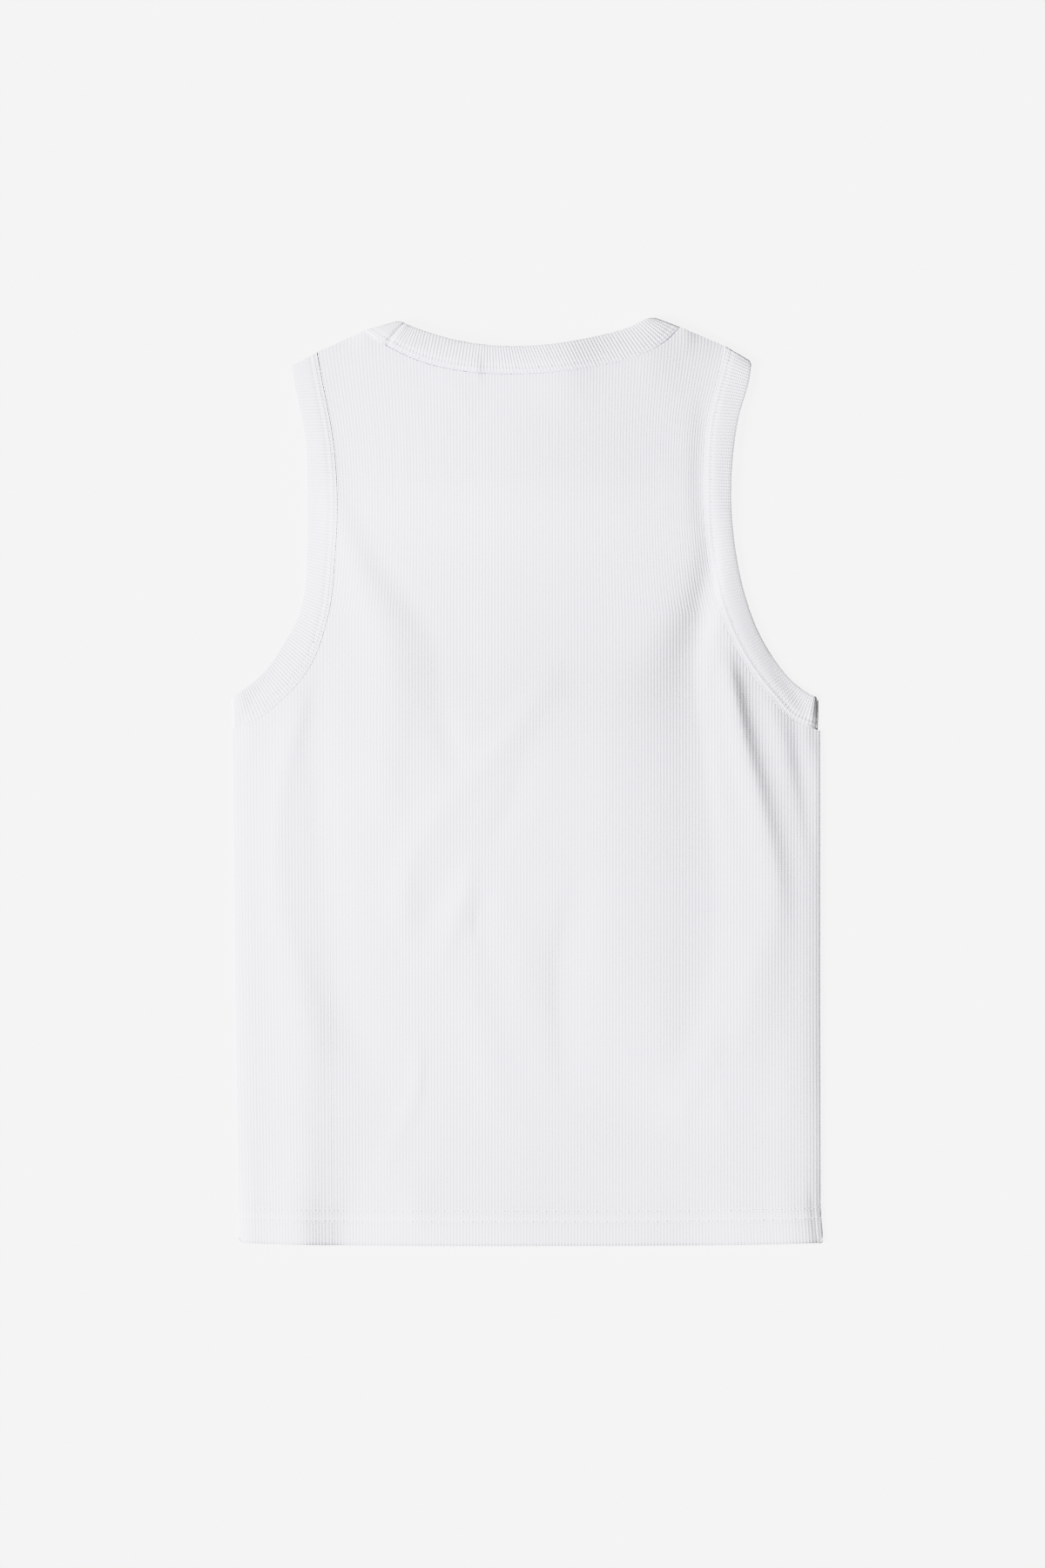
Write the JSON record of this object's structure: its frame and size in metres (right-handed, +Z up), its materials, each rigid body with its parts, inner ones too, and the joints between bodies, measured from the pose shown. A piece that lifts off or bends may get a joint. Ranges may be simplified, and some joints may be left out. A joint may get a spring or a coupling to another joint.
{
  "type": "sleeveless rib-knit tank top",
  "caption": "Sleeveless rib-knit top laid flat with its back up: high round neckband, cut-in armholes with doubled bands, straight hem. Worn on the upper body; here it lies on a surface.",
  "frame": {"origin": "on the surface that the garment lies on, under the middle of its footprint", "axes": "+Z up from the surface, +Y from the hem to the neck, +X towards the wearer's right"},
  "size_m": [0.3728, 0.5856, 0.0081],
  "materials": {
    "panel_rib": "matte white rib knit",
    "band_rib": "matte white rib knit, doubled",
    "sewing_thread": "matte white spun thread"
  },
  "bodies": {
    "root": {"back_panel": "panel_rib", "front_panel": "panel_rib", "neckband": "band_rib", "armhole_band_left": "band_rib", "armhole_band_right": "band_rib"}
  },
  "joints": []
}
